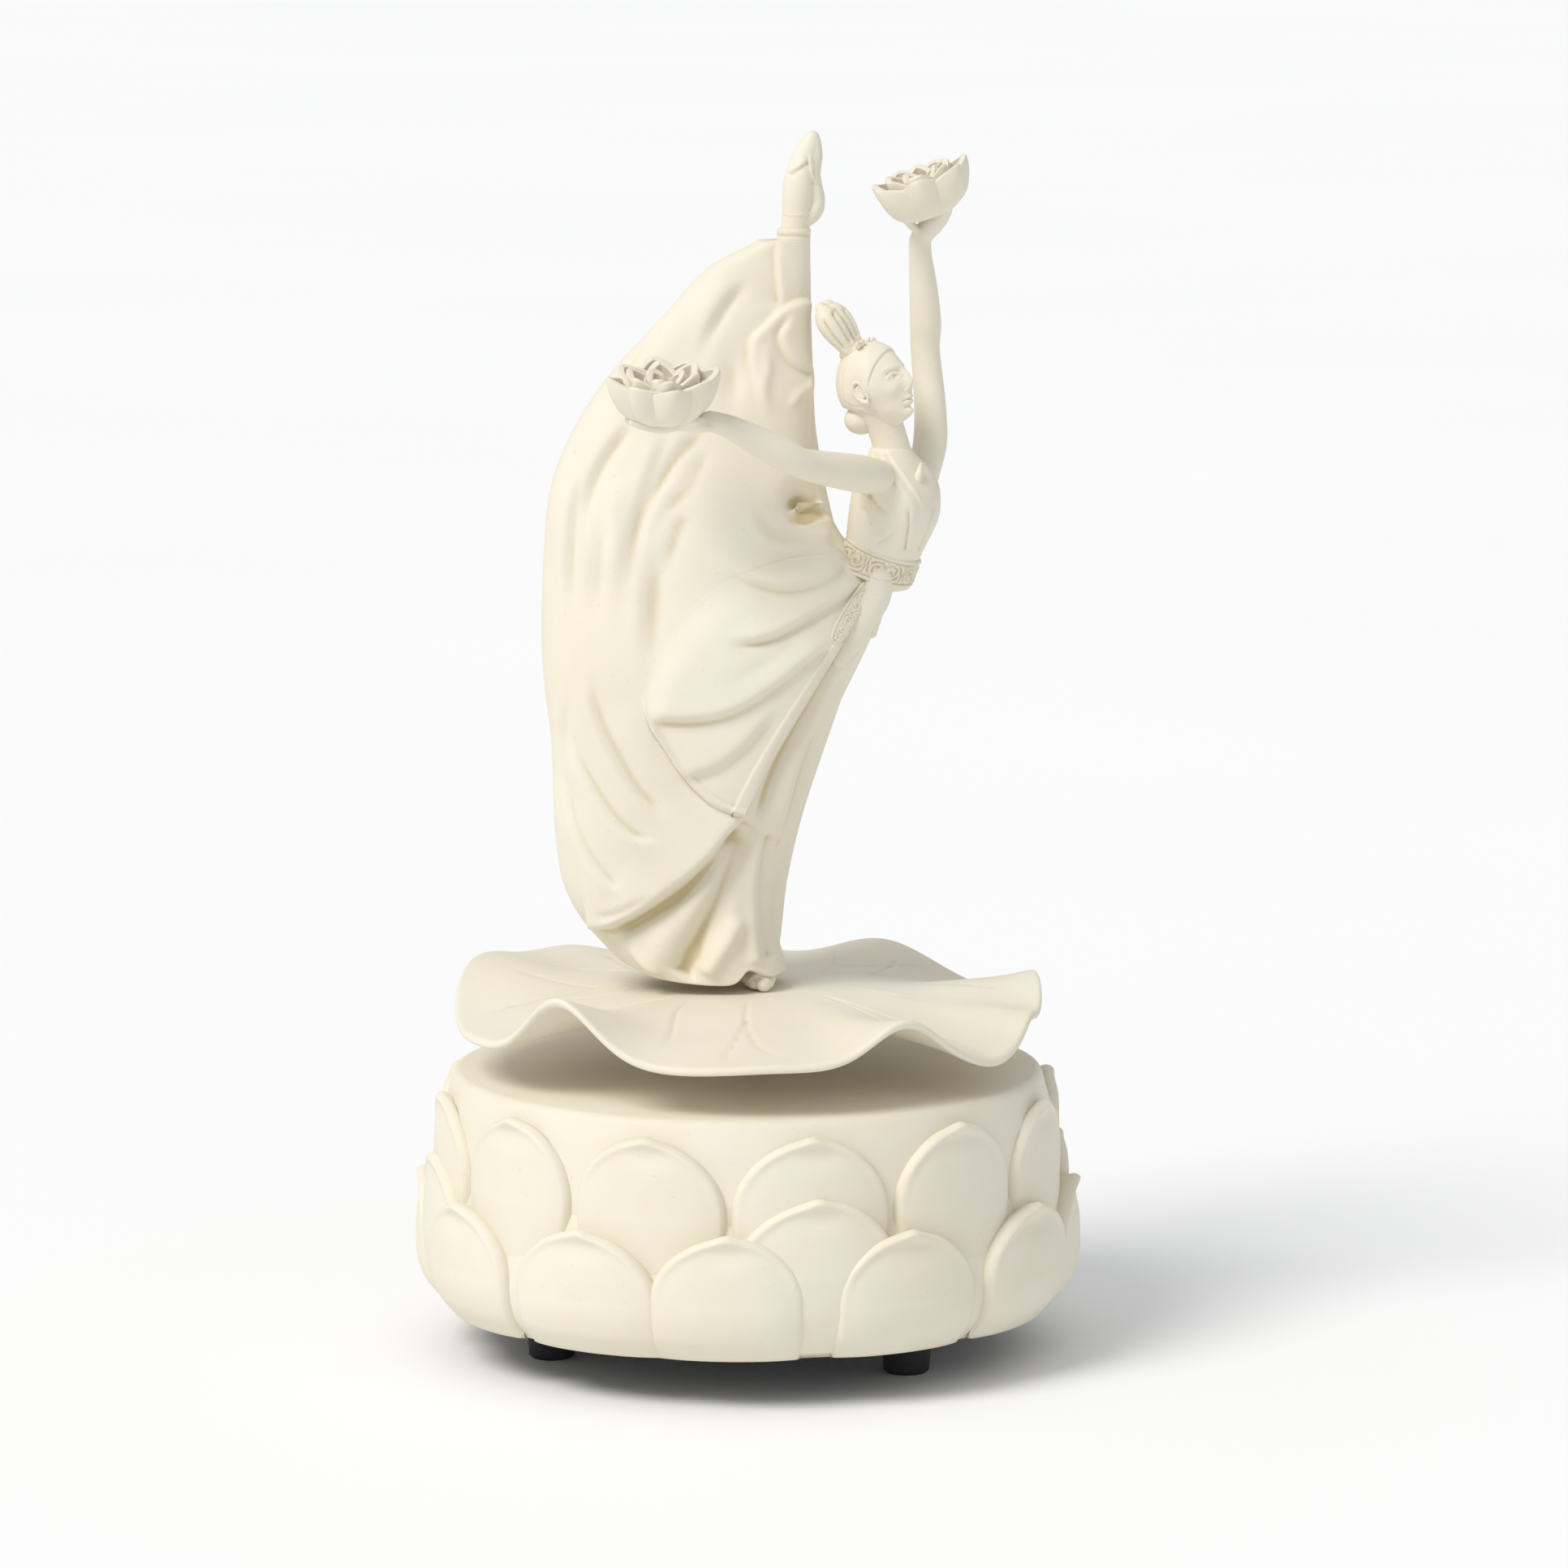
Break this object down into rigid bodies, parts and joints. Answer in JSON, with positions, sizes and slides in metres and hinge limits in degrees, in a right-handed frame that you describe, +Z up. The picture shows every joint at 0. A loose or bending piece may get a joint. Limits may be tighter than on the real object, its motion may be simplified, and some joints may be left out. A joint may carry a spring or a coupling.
{
  "type": "porcelain musical figurine",
  "caption": "Porcelain figurine of a dancer in a standing split on a wavy lotus leaf, which turns above a petalled drum that holds a wind-up musical movement.",
  "frame": {"origin": "centre of the circle that the rubber feet stand on, on the table, on the turning axis", "axes": "+Z up along the turning axis, +X towards the figure's chest side, -Y the front of the base"},
  "size_m": [0.1338, 0.1338, 0.2408],
  "materials": {
    "porcelain": "unglazed matt bisque porcelain",
    "bush_plastic": "moulded",
    "black_plastic": "fine moulded grain",
    "foot_rubber": "matt",
    "screw_steel": "zinc plated",
    "movement_steel": "pressed sheet",
    "movement_brass": "machined",
    "spring_steel": "blued and tempered",
    "comb_steel": "ground",
    "shaft_steel": "turned"
  },
  "bodies": {
    "base": {"base_drum": "porcelain", "upper_petals": "porcelain", "middle_petals": "porcelain", "lower_petals": "porcelain", "spindle_bush": "bush_plastic", "bottom_plate": "black_plastic", "plate_lugs": "bush_plastic", "plate_screws": "screw_steel", "rubber_feet": "foot_rubber", "foot_screws": "screw_steel", "movement_bedplate": "movement_steel", "movement_screws": "screw_steel", "barrel_housing": "movement_brass", "mainspring": "spring_steel", "comb_block": "movement_steel", "tone_comb": "comb_steel", "comb_screws": "screw_steel", "cylinder_brackets": "movement_steel", "governor_bracket": "movement_steel"},
    "turntable": {"winding_arbor": "shaft_steel", "great_wheel": "movement_brass", "winding_key": "movement_brass", "lock_nut": "screw_steel", "hub_insert": "movement_brass", "leaf_boss": "porcelain", "lotus_leaf": "porcelain", "standing_leg": "porcelain", "standing_shoe": "porcelain", "skirt": "porcelain", "front_drape": "porcelain", "waist_sash": "porcelain", "sash_tabs": "porcelain", "bodice": "porcelain", "head": "porcelain", "hair_cap": "porcelain", "hair_loops": "porcelain", "hair_ornament": "porcelain", "right_arm": "porcelain", "right_flower": "porcelain", "left_arm": "porcelain", "left_flower": "porcelain", "raised_leg": "porcelain", "raised_shoe": "porcelain"},
    "cylinder": {"pinned_cylinder": "movement_brass", "cylinder_axle": "shaft_steel", "cylinder_pinion": "movement_brass", "cylinder_end_wheel": "movement_brass"},
    "governor": {"governor_shaft": "shaft_steel", "governor_pinion": "movement_brass", "governor_fly": "comb_steel"}
  },
  "joints": [
    {"name": "turntable_spin", "type": "hinge", "parent": "base", "child": "turntable", "pos_m": [0, 0, 0], "axis": [0, 0, 1], "continuous": true},
    {"name": "cylinder_spin", "type": "hinge", "parent": "base", "child": "cylinder", "pos_m": [0, 0, 0.026], "axis": [1, 0, 0], "continuous": true},
    {"name": "governor_spin", "type": "hinge", "parent": "base", "child": "governor", "pos_m": [0.0409, 0, 0], "axis": [0, 0, 1], "continuous": true}
  ],
  "couplings": [
    {"joint": "cylinder_spin", "follows": "turntable_spin", "ratio": 2.4},
    {"joint": "governor_spin", "follows": "turntable_spin", "ratio": 8}
  ]
}
